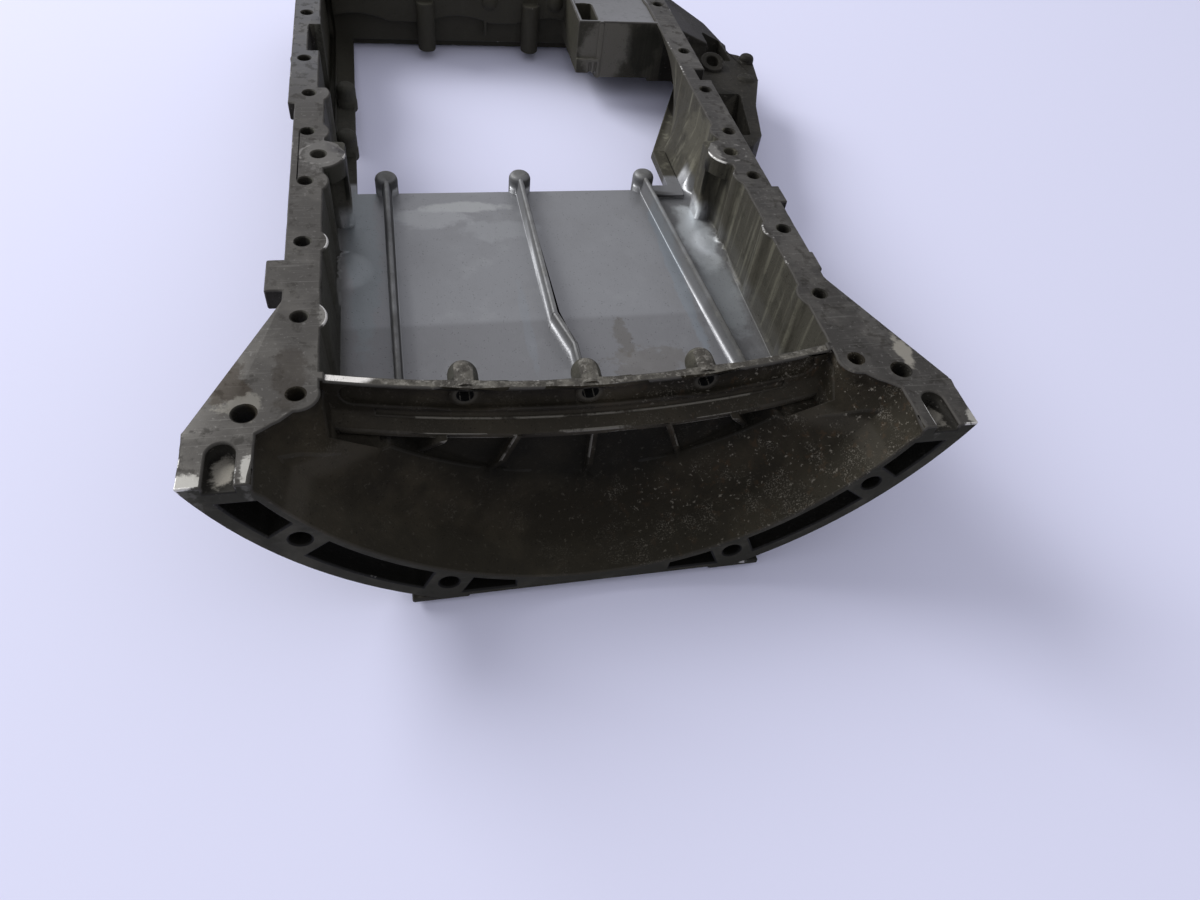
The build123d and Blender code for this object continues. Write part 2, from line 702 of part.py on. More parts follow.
# Outside first, then the hollows, then what stands inside them, then the holes
outside = crankcase_flange() + tapered_pan(wall_x, pan_rear, pan_front, -underside_z) + bell_outside()
left_step = (-outer_x + 1, -inner_x)
outside += block(left_step, (left_rows[0], pan_front), (-sump_flange_depth, -flange_thickness))
outside += sump_flange() + bracket()
opening = make_face(Polyline(*opening_plan, close=True))
opening_height = sump_flange_depth + sump_flange_top + 2
casting = outside - bay_cavity() - chamber() - bell_cavity() - cross_wall_grooves()
casting -= extrude(Pos(0, 0, -sump_flange_depth - 1) * opening, amount=opening_height)
casting += leaning_foot() + corner_band() + shelf() + gussets() + floor_ribs() + floor_swellings() + bolt_columns() + front_details()
for place in cross_boss_columns:
    casting += cross_boss(place)
casting += box_outside() - box_hollows()
for x, y in rear_bosses:
    casting += dome(x, y, floor_z + sump_boss_height, -sump_flange_depth, sump_boss_radius)
for x, y in side_bosses:
    casting += dome(x, y, floor_z + side_boss_height, -sump_flange_depth, side_boss_radius)
    casting += post(x, y, sump_flange_top + 2, -sump_flange_depth, sump_boss_radius)
casting -= bell_pockets() + corner_slots() + holes()
casting = Pos(0, -dowel_row, 0) * casting
export_step(casting, "parts/upper_oil_pan.step")
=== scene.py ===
import math

import bmesh
import bpy
from mathutils import Matrix, Vector, noise
from mathutils.bvhtree import BVHTree
from mathutils.kdtree import KDTree


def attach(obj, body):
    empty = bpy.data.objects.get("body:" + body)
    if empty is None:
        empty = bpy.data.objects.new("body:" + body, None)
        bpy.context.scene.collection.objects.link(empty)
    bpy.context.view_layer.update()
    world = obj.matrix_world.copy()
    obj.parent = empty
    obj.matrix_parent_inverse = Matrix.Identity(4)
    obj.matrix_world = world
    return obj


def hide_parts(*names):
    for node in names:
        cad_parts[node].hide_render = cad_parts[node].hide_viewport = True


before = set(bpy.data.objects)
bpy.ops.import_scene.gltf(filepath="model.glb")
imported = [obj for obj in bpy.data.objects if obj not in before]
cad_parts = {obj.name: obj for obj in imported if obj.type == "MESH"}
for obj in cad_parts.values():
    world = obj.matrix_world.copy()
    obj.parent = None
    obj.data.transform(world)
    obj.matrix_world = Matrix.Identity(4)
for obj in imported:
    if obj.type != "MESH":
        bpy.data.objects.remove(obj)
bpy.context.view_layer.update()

# Where the casting's zones lie, in metres in the object's frame, with z = 0 on the crankcase flange
zones = {
    "bellFace": -0.2257,  # on y
    "crankHeight": 0.0640,  # the bell turns about this line
    "bellInner": 0.1560,
    "bellOuter": 0.1765,
    "bellPocketEnd": -0.205,
    "bellMiddle": -0.194,
    "shelfTop": -0.0165,
    "bowAxis": 0.3543,  # the cross wall bows about this point on y
    "bowRadius": 0.5400,
    "shelfReach": 0.1180,  # from the crankshaft's line
    "bossPlaces": (-0.0570, -0.0025, 0.0520),  # the cross wall's bosses on x
    "bossDepth": 0.0070,
    "bossSpan": (-0.192, -0.166),  # on y
    "boreRadius": 0.0036,
    "boreMouth": -0.1790,
    "boreEnd": -0.165,
    "bayHalf": 0.1232,
    "bayBottom": -0.0515,
    "floorHalf": 0.1060,
    "floorTop": -0.0300,
    "bandEdge": -0.0885,  # the bay's floor is darker on the bell's side of it
    "openingRear": 0.045,
    "frontStart": 0.165,
    "boxRear": 0.171,
    "boxMiddle": 0.087,
    "boxHalf": 0.031,
    "dowelPlace": 0.1188,
    "dowelRing": 0.0098,
}

# Colours of the skin outside, in the bell, on the walls, on the bay's floor, of faces, edges and rim
finish = {
    "outsideColour": (0.0155, 0.0145, 0.0120),
    "outsideStain": (0.036, 0.033, 0.027),
    "outsideDark": (0.012, 0.011, 0.010),
    "outsideSpeck": (0.15, 0.14, 0.125),
    "pitDirt": (0.008, 0.007, 0.006),
    "bellColour": (0.0130, 0.0110, 0.0075),
    "bellStain": (0.036, 0.030, 0.020),
    "bellSpeck": (0.150, 0.138, 0.114),
    "bellRust": (0.046, 0.028, 0.015),
    "bellCrust": (0.125, 0.115, 0.095),
    "bellDust": (0.085, 0.078, 0.058),
    "bellDeepShade": (0.006, 0.006, 0.005),
    "shelfDust": (0.062, 0.056, 0.045),
    "boreRing": (0.060, 0.056, 0.045),
    # the next two are painted shade, in the bores and in the bell's pockets
    "boreShade": (0.003, 0.003, 0.003),
    "pocketShade": (0.003, 0.003, 0.0025),
    "wallColour": (0.050, 0.047, 0.037),
    "wallStreak": (0.175, 0.168, 0.130),
    # painted shade for the left wall
    "wallLeftShade": (0.044, 0.044, 0.038),
    "wallDark": (0.020, 0.019, 0.015),
    "frontColour": (0.034, 0.032, 0.024),
    "bayFloorColour": (0.268, 0.273, 0.284),
    "bayFloorStain": (0.215, 0.215, 0.220),
    "bayFloorBand": (0.175, 0.175, 0.181),
    "bayScuff": (0.330, 0.340, 0.350),
    # painted shade for the leaning sides of the bay's ribs
    "ribSideShade": (0.035, 0.035, 0.034),
    "faceColour": (0.044, 0.0415, 0.038),
    "faceLeft": (0.088, 0.083, 0.076),
    "faceFar": (0.125, 0.128, 0.137),
    "faceStain": (0.135, 0.128, 0.116),
    "faceLight": (0.230, 0.222, 0.210),
    "faceDark": (0.022, 0.020, 0.017),
    "lidColour": (0.190, 0.192, 0.200),
    "bellFaceColour": (0.021, 0.0205, 0.0145),
    "bellFaceStain": (0.050, 0.047, 0.034),
    "dullEdge": (0.050, 0.047, 0.042),
    "bareMetal": (0.560, 0.550, 0.530),
    "bayEdge": (0.190, 0.194, 0.200),
    "bellEdge": (0.125, 0.118, 0.100),
    "rimColour": (0.040, 0.036, 0.029),
    "rimStain": (0.105, 0.098, 0.082),
    "rimSpeck": (0.200, 0.190, 0.168),
}


class Shading:
    # short calls that place and join nodes in one tree
    def __init__(self, tree):
        self.tree = tree

    def node(self, kind, **settings):
        made = self.tree.nodes.new(kind)
        for name, value in settings.items():
            setattr(made, name, value)
        return made

    def feed(self, socket, value):
        if isinstance(value, bpy.types.NodeSocket):
            self.tree.links.new(value, socket)
        else:
            socket.default_value = value

    def sum(self, operation, *values):
        made = self.node("ShaderNodeMath", operation=operation)
        for socket, value in zip(made.inputs, values):
            self.feed(socket, value)
        return made.outputs[0]

    def vector(self, operation, *values):
        made = self.node("ShaderNodeVectorMath", operation=operation)
        for socket, value in zip(made.inputs, values):
            self.feed(socket, value)
        return made.outputs["Value" if operation in ("LENGTH", "DISTANCE", "DOT_PRODUCT") else "Vector"]

    def split(self, vector):
        made = self.node("ShaderNodeSeparateXYZ")
        self.feed(made.inputs[0], vector)
        return made.outputs[0], made.outputs[1], made.outputs[2]

    def ramp(self, value, low, high):
        # 0 below low and 1 above high, or the other way round where low is the larger
        made = self.node("ShaderNodeMapRange", interpolation_type="SMOOTHSTEP")
        self.feed(made.inputs["Value"], value)
        self.feed(made.inputs["From Min"], low)
        self.feed(made.inputs["From Max"], high)
        return made.outputs["Result"]

    def mix(self, amount, first, second):
        made = self.node("ShaderNodeMix", data_type="RGBA")
        self.feed(made.inputs["Factor"], amount)
        for name, value in (("A", first), ("B", second)):
            socket = [entry for entry in made.inputs if entry.name == name and entry.type == "RGBA"][0]
            self.feed(socket, (*value, 1) if isinstance(value, tuple) else value)
        return [entry for entry in made.outputs if entry.type == "RGBA"][0]

    def blend(self, amount, first, second):
        made = self.node("ShaderNodeMix", data_type="FLOAT")
        self.feed(made.inputs["Factor"], amount)
        self.feed(made.inputs["A"], first)
        self.feed(made.inputs["B"], second)
        return made.outputs["Result"]

    def noise(self, place, scale, detail=3.0, roughness=0.55):
        made = self.node("ShaderNodeTexNoise")
        self.feed(made.inputs["Vector"], place)
        self.feed(made.inputs["Scale"], scale)
        self.feed(made.inputs["Detail"], detail)
        self.feed(made.inputs["Roughness"], roughness)
        return made.outputs["Fac"]

    def stretch(self, place, scale, turn=(0.0, 0.0, 0.0)):
        made = self.node("ShaderNodeMapping")
        self.feed(made.inputs["Vector"], place)
        made.inputs["Scale"].default_value = scale
        made.inputs["Rotation"].default_value = [math.radians(angle) for angle in turn]
        return made.outputs["Vector"]

    def offLine(self, place, x, z):
        # distance from a line along y
        away = self.vector("SUBTRACT", place, (x, 0.0, z))
        return self.vector("LENGTH", self.vector("MULTIPLY", away, (1.0, 0.0, 1.0)))

    def group(self, tree, **values):
        made = self.node("ShaderNodeGroup", node_tree=tree)
        for name, value in values.items():
            self.feed(made.inputs[name], value)
        return made.outputs


def newGroup(name, inputs, outputs):
    tree = bpy.data.node_groups.new(name, "ShaderNodeTree")
    kinds = {"value": "NodeSocketFloat", "vector": "NodeSocketVector"}
    for label, kind, preset in inputs:
        socket = tree.interface.new_socket(label, in_out="INPUT", socket_type=kinds[kind])
        if preset is not None:
            socket.default_value = preset
    for label, kind in outputs:
        tree.interface.new_socket(label, in_out="OUTPUT", socket_type=kinds[kind])
    made = Shading(tree)
    return tree, made, made.node("NodeGroupInput").outputs, made.node("NodeGroupOutput").inputs


def castGrain():
    # sand-cast skin: fine grain, shallow waves and scattered pits
    tree, made, given, result = newGroup(
        "castGrain",
        [("Place", "vector", None), ("Scale", "value", 1.0)],
        [("Height", "value"), ("Pits", "value")],
    )
    place = made.node("ShaderNodeVectorMath", operation="SCALE")
    made.feed(place.inputs[0], given["Place"])
    made.feed(place.inputs["Scale"], given["Scale"])
    spot = place.outputs[0]
    fine = made.noise(spot, 900.0, 4.0, 0.6)
    coarse = made.noise(spot, 160.0, 3.0, 0.5)
    cells = made.node("ShaderNodeTexVoronoi")
    made.feed(cells.inputs["Vector"], spot)
    cells.inputs["Scale"].default_value = 620.0
    pits = made.ramp(cells.outputs["Distance"], 0.30, 0.10)
    thin = made.ramp(made.noise(spot, 300.0, 2.0), 0.48, 0.62)
    pits = made.sum("MULTIPLY", pits, thin)
    height = made.sum("ADD", made.sum("MULTIPLY", fine, 0.5), made.sum("MULTIPLY", coarse, 0.7))
    made.feed(result["Height"], made.sum("SUBTRACT", height, made.sum("MULTIPLY", pits, 0.5)))
    made.feed(result["Pits"], pits)
    return tree


def stains():
    # soft-edged patches that cover part of a surface
    tree, made, given, result = newGroup(
        "stains",
        [("Place", "vector", None), ("Scale", "value", 30.0),
         ("Start", "value", 0.5), ("Full", "value", 0.65)],
        [("Mask", "value")],
    )
    warp = made.node("ShaderNodeTexNoise")
    made.feed(warp.inputs["Vector"], given["Place"])
    made.feed(warp.inputs["Scale"], given["Scale"])
    push = made.node("ShaderNodeVectorMath", operation="SCALE")
    made.feed(push.inputs[0], warp.outputs["Color"])
    made.feed(push.inputs["Scale"], made.sum("DIVIDE", 0.45, given["Scale"]))
    shifted = made.vector("ADD", push.outputs[0], given["Place"])
    cover = made.noise(shifted, given["Scale"], 6.0, 0.62)
    made.feed(result["Mask"], made.ramp(cover, given["Start"], given["Full"]))
    return tree


def scratches():
    # fine straight marks in three directions
    tree, made, given, result = newGroup(
        "scratches", [("Place", "vector", None), ("Amount", "value", 0.5)], [("Mask", "value")]
    )
    total = None
    for turn, stretch in ((12, (26, 900, 300)), (-38, (34, 1100, 300)), (74, (22, 1300, 300))):
        lines = made.noise(made.stretch(given["Place"], stretch, (0, 0, turn)), 1.0, 2.0, 0.5)
        marks = made.ramp(lines, 0.63, 0.72)
        total = marks if total is None else made.sum("MAXIMUM", total, marks)
    made.feed(result["Mask"], made.sum("MULTIPLY", total, given["Amount"]))
    return tree


def edgeWear():
    # where a rounded edge is rubbed to bare metal
    tree, made, given, result = newGroup(
        "edgeWear", [("Place", "vector", None), ("Cover", "value", 0.5)], [("Mask", "value")]
    )
    long = made.noise(given["Place"], 48.0, 3.0, 0.6)
    short = made.noise(given["Place"], 520.0, 4.0, 0.65)
    both = made.sum("ADD", made.sum("MULTIPLY", long, 0.65), made.sum("MULTIPLY", short, 0.35))
    edge = made.sum("SUBTRACT", 0.78, made.sum("MULTIPLY", given["Cover"], 0.55))
    made.feed(result["Mask"], made.ramp(both, edge, made.sum("ADD", edge, 0.10)))
    return tree


def patch():
    # one mark in one place, ragged at its rim
    tree, made, given, result = newGroup(
        "patch",
        [("Place", "vector", None), ("Centre", "vector", None), ("Size", "vector", (0.01, 0.01, 0.01)),
         ("Ragged", "value", 0.5), ("Scale", "value", 120.0)],
        [("Mask", "value")],
    )
    away = made.vector("DIVIDE", made.vector("SUBTRACT", given["Place"], given["Centre"]), given["Size"])
    away = made.vector("LENGTH", away)
    torn = made.noise(given["Place"], given["Scale"], 5.0, 0.65)
    torn = made.sum("MULTIPLY", made.sum("SUBTRACT", torn, 0.5), made.sum("MULTIPLY", given["Ragged"], 3.0))
    made.feed(result["Mask"], made.ramp(made.sum("ADD", away, torn), 1.1, 0.7))
    return tree


def panZones():
    # which part of the casting a point belongs to
    tree, made, given, result = newGroup(
        "panZones",
        [("Place", "vector", None)],
        [("Bell", "value"), ("Bay", "value"), ("Floor", "value"), ("Front", "value")],
    )
    x, y, z = made.split(given["Place"])
    flat = made.vector("SUBTRACT", given["Place"], (0.0, zones["bowAxis"], 0.0))
    flat = made.vector("LENGTH", made.vector("MULTIPLY", flat, (1.0, 1.0, 0.0)))
    before = made.ramp(flat, zones["bowRadius"] - 0.0034, zones["bowRadius"] - 0.0029)
    radius = made.offLine(given["Place"], 0.0, zones["crankHeight"])
    inner = made.ramp(radius, zones["bellInner"] + 0.003, zones["bellInner"] + 0.001)
    bell = made.sum("MULTIPLY", before, inner)
    across = made.sum("ABSOLUTE", x)
    within = made.ramp(across, zones["bayHalf"] + 0.0010, zones["bayHalf"])
    above = made.ramp(z, zones["bayBottom"], zones["bayBottom"] + 0.0025)
    bay = made.sum("MULTIPLY", within, above)
    bay = made.sum("MULTIPLY", bay, made.sum("SUBTRACT", 1.0, before))
    wobble = made.noise(given["Place"], 90.0, 3.0)
    low = made.sum("ADD", z, made.sum("MULTIPLY", made.sum("SUBTRACT", wobble, 0.5), 0.006))
    below = made.ramp(low, zones["floorTop"], zones["floorTop"] - 0.0100)
    bottom = made.sum("MULTIPLY", below, made.ramp(across, zones["floorHalf"] + 0.0120, zones["floorHalf"]))
    bottom = made.sum("MULTIPLY", bottom, made.ramp(y, zones["openingRear"], zones["openingRear"] - 0.005))
    made.feed(result["Bell"], bell)
    made.feed(result["Bay"], bay)
    made.feed(result["Floor"], made.sum("MULTIPLY", bay, bottom))
    front = made.ramp(y, zones["frontStart"], zones["frontStart"] + 0.015)
    made.feed(result["Front"], made.sum("MULTIPLY", bay, front))
    return tree


groups = {}
for make in (castGrain, stains, scratches, edgeWear, patch, panZones):
    groups[make.__name__] = make()


def material(name):
    entry = bpy.data.materials.new(name)
    entry.use_nodes = True
    made = Shading(entry.node_tree)
    shader = entry.node_tree.nodes["Principled BSDF"]
    place = made.node("ShaderNodeTexCoord").outputs["Object"]
    return entry, made, shader, place


def bumped(made, shader, height, strength, distance):
    bump = made.node("ShaderNodeBump")
    bump.inputs["Strength"].default_value = strength
    bump.inputs["Distance"].default_value = distance
    made.feed(bump.inputs["Height"], height)
    made.feed(shader.inputs["Normal"], bump.outputs["Normal"])


def marked(made, place, colour, marks):
    # lays single marks over a colour, one after another
    for tint, strength, centre, size, ragged, scale in marks:
        patched = made.group(
            groups["patch"], Place=place, Centre=centre, Size=size, Ragged=ragged, Scale=scale
        )
        colour = made.mix(made.sum("MULTIPLY", patched["Mask"], strength), colour, tint)
    return colour


def stained(made, place, scale, start, full):
    return made.group(groups["stains"], Place=place, Scale=scale, Start=start, Full=full)["Mask"]


def outsideColour(made, place, broad, small, specks):
    colour = made.mix(made.sum("MULTIPLY", broad, 0.6), finish["outsideColour"], finish["outsideStain"])
    colour = made.mix(made.sum("MULTIPLY", small, 0.35), colour, finish["outsideDark"])
    colour = made.mix(made.sum("MULTIPLY", specks, 0.35), colour, finish["outsideSpeck"])
    return marked(made, place, colour, skinMarks)


def bellColour(made, place, broad, specks):
    # dark, with flakes and rust that thicken to the right, dust by its face and on the shelf, and painted
    # shade low down behind its middle
    x, y, z = made.split(place)
    right = made.ramp(x, -0.04, 0.10)
    crusted = stained(made, place, 75.0, 0.50, 0.66)
    crust = made.sum("MULTIPLY", crusted, stained(made, place, 1300.0, 0.50, 0.64))
    crust = made.sum("MULTIPLY", crust, made.sum("ADD", 0.18, made.sum("MULTIPLY", right, 0.82)))
    rust = made.sum("MULTIPLY", made.sum("MULTIPLY", stained(made, place, 200.0, 0.56, 0.66), 0.45), right)
    flakes = made.sum("MULTIPLY", specks, made.sum("ADD", 0.14, made.sum("MULTIPLY", right, 0.80)))
    dust = made.ramp(y, zones["bellMiddle"], zones["bellMiddle"] - 0.022)
    deep = made.ramp(y, zones["bellMiddle"], zones["bellMiddle"] + 0.010)
    deep = made.sum("MULTIPLY", deep, made.ramp(z, -0.024, -0.032))
    shelf = made.ramp(z, zones["shelfTop"], zones["shelfTop"] - 0.0030)
    shelf = made.sum("MULTIPLY", made.ramp(z, -0.0300, -0.0240), shelf)
    colour = made.mix(made.sum("MULTIPLY", broad, 0.7), finish["bellColour"], finish["bellStain"])
    colour = made.mix(rust, colour, finish["bellRust"])
    colour = made.mix(flakes, colour, finish["bellSpeck"])
    colour = made.mix(crust, colour, finish["bellCrust"])
    colour = made.mix(made.sum("MULTIPLY", dust, 0.16), colour, finish["bellDust"])
    # painted shade low down in the back of the bell
    colour = made.mix(made.sum("MULTIPLY", deep, 0.7), colour, finish["bellDeepShade"])
    return made.mix(made.sum("MULTIPLY", shelf, 0.32), colour, finish["shelfDust"])


def wallColour(made, place, small, front):
    # upright streaks, made stronger to the right as painted light on the lit right wall, and painted shade on
    # the left wall
    x = made.split(place)[0]
    streak = made.noise(made.stretch(place, (130, 130, 7)), 1.0, 4.0, 0.6)
    streak = made.ramp(streak, 0.50, 0.70)
    # painted light: the streaks grow stronger towards the right wall
    side = made.sum("ADD", 0.25, made.sum("MULTIPLY", made.ramp(x, -0.02, 0.05), 0.25))
    colour = made.mix(made.sum("MULTIPLY", streak, side), finish["wallColour"], finish["wallStreak"])
    # painted shade on the left wall
    colour = made.mix(made.sum("MULTIPLY", made.ramp(x, 0.02, -0.05), 0.6), colour, finish["wallLeftShade"])
    colour = made.mix(made.sum("MULTIPLY", small, 0.30), colour, finish["wallDark"])
    colour = made.mix(made.sum("MULTIPLY", front, 0.85), colour, finish["frontColour"])
    return marked(made, place, colour, wallMarks)


def floorColour(made, place, broad, cloud, leaning, turned):
    # pale, with clouds, a darker band along the cross wall, and painted shade on the rib sides, deepest on
    # the sides that face right
    y = made.split(place)[1]
    band = made.ramp(y, zones["bandEdge"], zones["bandEdge"] - 0.0050)
    side = made.sum("ADD", 0.50, made.sum("MULTIPLY", made.ramp(turned, 0.0, 0.6), 0.35))
    colour = made.mix(made.sum("MULTIPLY", broad, 0.30), finish["bayFloorColour"], finish["bayFloorStain"])
    colour = made.mix(made.sum("MULTIPLY", band, 0.55), colour, finish["bayFloorBand"])
    colour = made.mix(made.sum("MULTIPLY", cloud, 0.22), colour, finish["bayScuff"])
    colour = marked(made, place, colour, bayMarks)
    # painted shade: leaning faces darkened by their normal, more where they face right
    return made.mix(made.sum("MULTIPLY", leaning, side), colour, finish["ribSideShade"])


def boreRingsAndShade(made, place, colour):
    # a pale ring round each bore of the cross wall, and painted shade in the bores and in the bell's pockets
    y, z = made.split(place)[1:]
    for column in zones["bossPlaces"]:
        away = made.offLine(place, column, -zones["bossDepth"])
        ring = made.ramp(away, zones["boreRadius"] + 0.0026, zones["boreRadius"] + 0.0010)
        ring = made.sum("MULTIPLY", ring, made.ramp(y, zones["boreMouth"] + 0.0025, zones["boreMouth"]))
        colour = made.mix(made.sum("MULTIPLY", ring, 0.5), colour, finish["boreRing"])
        bore = made.ramp(away, zones["boreRadius"] + 0.0004, zones["boreRadius"] + 0.0001)
        bore = made.sum("MULTIPLY", bore, made.ramp(y, zones["boreEnd"], zones["boreEnd"] - 0.005))
        # painted shade inside the bore
        colour = made.mix(bore, colour, finish["boreShade"])
    radius = made.offLine(place, 0.0, zones["crankHeight"])
    pocket = made.ramp(radius, zones["bellInner"] + 0.0015, zones["bellInner"] + 0.0025)
    outer = made.ramp(radius, zones["bellOuter"], zones["bellOuter"] - 0.0010)
    pocket = made.sum("MULTIPLY", pocket, outer)
    byFace = made.ramp(y, zones["bellPocketEnd"], zones["bellPocketEnd"] - 0.007)
    pocket = made.sum("MULTIPLY", pocket, byFace)
    pocket = made.sum("MULTIPLY", pocket, made.ramp(z, -0.011, -0.014))
    # painted shade in the bell's pockets
    return made.mix(made.sum("MULTIPLY", pocket, 0.8), colour, finish["pocketShade"])


def castColour(made, place):
    # the as-cast skin's colour, roughness and metal share, zone by zone
    zone = made.group(groups["panZones"], Place=place)
    broad = stained(made, place, 22.0, 0.42, 0.66)
    small = stained(made, place, 140.0, 0.50, 0.62)
    specks = stained(made, place, 420.0, 0.60, 0.68)
    cloud = stained(made, place, 55.0, 0.52, 0.72)
    normal = made.split(made.node("ShaderNodeNewGeometry").outputs["Normal"])
    leaning = made.ramp(normal[2], 0.75, 0.35)

    outside = outsideColour(made, place, broad, small, specks)
    colour = made.mix(zone["Bell"], outside, bellColour(made, place, broad, specks))
    colour = made.mix(zone["Bay"], colour, wallColour(made, place, small, zone["Front"]))
    colour = made.mix(zone["Floor"], colour, floorColour(made, place, broad, cloud, leaning, normal[0]))
    colour = boreRingsAndShade(made, place, colour)

    rough = made.blend(zone["Bell"], 0.62, 0.85)
    rough = made.blend(zone["Bay"], rough, 0.62)
    floorRough = made.sum("ADD", 0.40, made.sum("MULTIPLY", cloud, 0.15))
    floorRough = made.sum("ADD", floorRough, made.sum("MULTIPLY", leaning, 0.22))
    rough = made.blend(zone["Floor"], rough, floorRough)
    metal = made.sum("MULTIPLY", zone["Floor"], made.blend(leaning, 0.55, 0.15))
    metal = made.sum("ADD", metal, made.sum("MULTIPLY", made.sum("SUBTRACT", 1.0, zone["Bell"]), 0.12))
    return colour, rough, metal, zone


# Single marks: colour, strength, centre, size, raggedness and its scale. First, on the rough skin, the
# scraped floors of the two corner slots
skinMarks = [
    ((0.300, 0.283, 0.243), 0.80, (-0.1513, -0.2160, -0.0076), (0.0050, 0.0110, 0.0045), 0.5, 200.0),
    ((0.160, 0.151, 0.131), 0.65, (0.1513, -0.2150, -0.0076), (0.0050, 0.0100, 0.0045), 0.7, 200.0),
]

# On the walls inside: painted light on the box's rear face, a streak by the opening that is part stain and
# part painted light, and painted shadow with dirt beside the box
wallMarks = [
    # painted light on the box's rear face
    ((0.135, 0.128, 0.108), 0.80, (0.0800, 0.1753, -0.019), (0.0190, 0.008, 0.027), 0.4, 90.0),
    ((0.150, 0.142, 0.105), 0.25, (0.1180, 0.0420, -0.025), (0.0120, 0.030, 0.030), 0.8, 70.0),
    # painted shadow and dirt beside the box
    ((0.012, 0.012, 0.009), 0.60, (0.1090, 0.1753, -0.018), (0.0120, 0.006, 0.022), 0.6, 90.0),
]

# On the bay's floor: scuffs, stains by the cross wall, bare metal with a painted sheen by the right wall,
# blue-grey painted reflections
bayMarks = [
    ((0.42, 0.43, 0.43), 0.75, (-0.040, 0.016, -0.046), (0.028, 0.006, 0.02), 0.45, 70.0),
    ((0.40, 0.41, 0.42), 0.50, (-0.060, 0.006, -0.046), (0.026, 0.011, 0.02), 0.55, 80.0),
    ((0.34, 0.35, 0.36), 0.50, (-0.022, -0.008, -0.046), (0.024, 0.010, 0.02), 0.60, 80.0),
    ((0.110, 0.095, 0.070), 0.40, (0.034, -0.106, -0.046), (0.005, 0.017, 0.02), 0.90, 160.0),
    ((0.140, 0.125, 0.105), 0.40, (0.044, -0.128, -0.046), (0.022, 0.012, 0.02), 0.90, 120.0),
    # painted sheen over bare metal by the right wall
    ((0.60, 0.63, 0.65), 0.90, (0.101, -0.022, -0.044), (0.012, 0.036, 0.02), 0.40, 60.0),
    ((0.40, 0.43, 0.45), 0.55, (0.100, -0.075, -0.045), (0.013, 0.040, 0.02), 0.55, 70.0),
    # blue-grey painted reflections
    ((0.26, 0.32, 0.37), 0.30, (0.078, -0.060, -0.045), (0.004, 0.075, 0.02), 0.60, 60.0),
    ((0.24, 0.285, 0.30), 0.40, (-0.100, -0.030, -0.046), (0.010, 0.080, 0.02), 0.60, 60.0),
    ((0.26, 0.30, 0.34), 0.18, (-0.016, -0.095, -0.046), (0.003, 0.040, 0.02), 0.40, 60.0),
]

castSkin, made, shader, place = material("castSkin")
colour, rough, metal, zone = castColour(made, place)
grain = made.group(groups["castGrain"], Place=place, Scale=1.0)
colour = made.mix(made.sum("MULTIPLY", grain["Pits"], 0.4), colour, finish["pitDirt"])
made.feed(shader.inputs["Base Color"], colour)
made.feed(shader.inputs["Roughness"], rough)
made.feed(shader.inputs["Metallic"], metal)
shader.inputs["Specular IOR Level"].default_value = 0.10
smooth = made.blend(zone["Floor"], 1.0, 0.35)
bumped(made, shader, made.sum("MULTIPLY", grain["Height"], smooth), 0.75, 0.0006)

# Machined faces: the crankcase flange, the bell's face and the lid of the box
faceMarks = [
    ((0.270, 0.255, 0.220), 0.90, (0.1509, -0.1775, 0.0), (0.0042, 0.0105, 0.02), 0.55, 150.0),
    ((0.030, 0.022, 0.014), 0.70, (-0.151, -0.174, 0.0), (0.008, 0.014, 0.02), 0.8, 110.0),
    ((0.200, 0.190, 0.165), 0.60, (-0.146, -0.186, 0.0), (0.009, 0.007, 0.02), 0.9, 130.0),
    ((0.034, 0.028, 0.022), 0.55, (-0.128, -0.170, 0.0), (0.007, 0.020, 0.02), 0.9, 90.0),
    ((0.40, 0.39, 0.36), 0.88, (-0.1625, -0.2225, 0.0), (0.0065, 0.0042, 0.02), 0.6, 320.0),
    ((0.40, 0.39, 0.36), 0.85, (-0.1412, -0.2190, 0.0), (0.0026, 0.0085, 0.02), 0.6, 320.0),
    ((0.36, 0.35, 0.32), 0.85, (0.1665, -0.2215, 0.0), (0.0046, 0.0045, 0.02), 0.7, 320.0),
    ((0.36, 0.35, 0.32), 0.85, (0.1475, -0.2160, 0.0), (0.0020, 0.0110, 0.02), 0.6, 320.0),
    ((0.20, 0.195, 0.18), 0.70, (-0.113, -0.132, 0.0), (0.004, 0.009, 0.02), 0.8, 300.0),
    ((0.17, 0.165, 0.155), 0.55, (-0.116, 0.000, 0.0), (0.012, 0.016, 0.02), 0.9, 240.0),
    ((0.20, 0.195, 0.18), 0.65, (0.108, -0.002, 0.0), (0.004, 0.014, 0.02), 0.8, 300.0),
]
machined, made, shader, place = material("machinedFace")
x, y, z = made.split(place)
cloud = stained(made, place, 42.0, 0.44, 0.64)
dirt = stained(made, place, 150.0, 0.52, 0.64)
lines = made.group(groups["scratches"], Place=place, Amount=0.22)["Mask"]
fleck = stained(made, place, 520.0, 0.58, 0.68)
leftShare = made.ramp(x, 0.02, -0.05)
base = made.mix(made.sum("MULTIPLY", leftShare, 0.55), finish["faceColour"], finish["faceLeft"])
farShare = made.sum("MULTIPLY", leftShare, made.ramp(y, 0.04, 0.12))
base = made.mix(made.sum("MULTIPLY", farShare, 0.6), base, finish["faceFar"])
base = made.mix(made.sum("MULTIPLY", cloud, 0.38), base, finish["faceStain"])
base = made.mix(made.sum("MULTIPLY", dirt, 0.50), base, finish["faceDark"])
base = made.mix(lines, base, finish["faceLight"])
base = made.mix(made.sum("MULTIPLY", fleck, 0.30), base, finish["faceLight"])
base = marked(made, place, base, faceMarks)
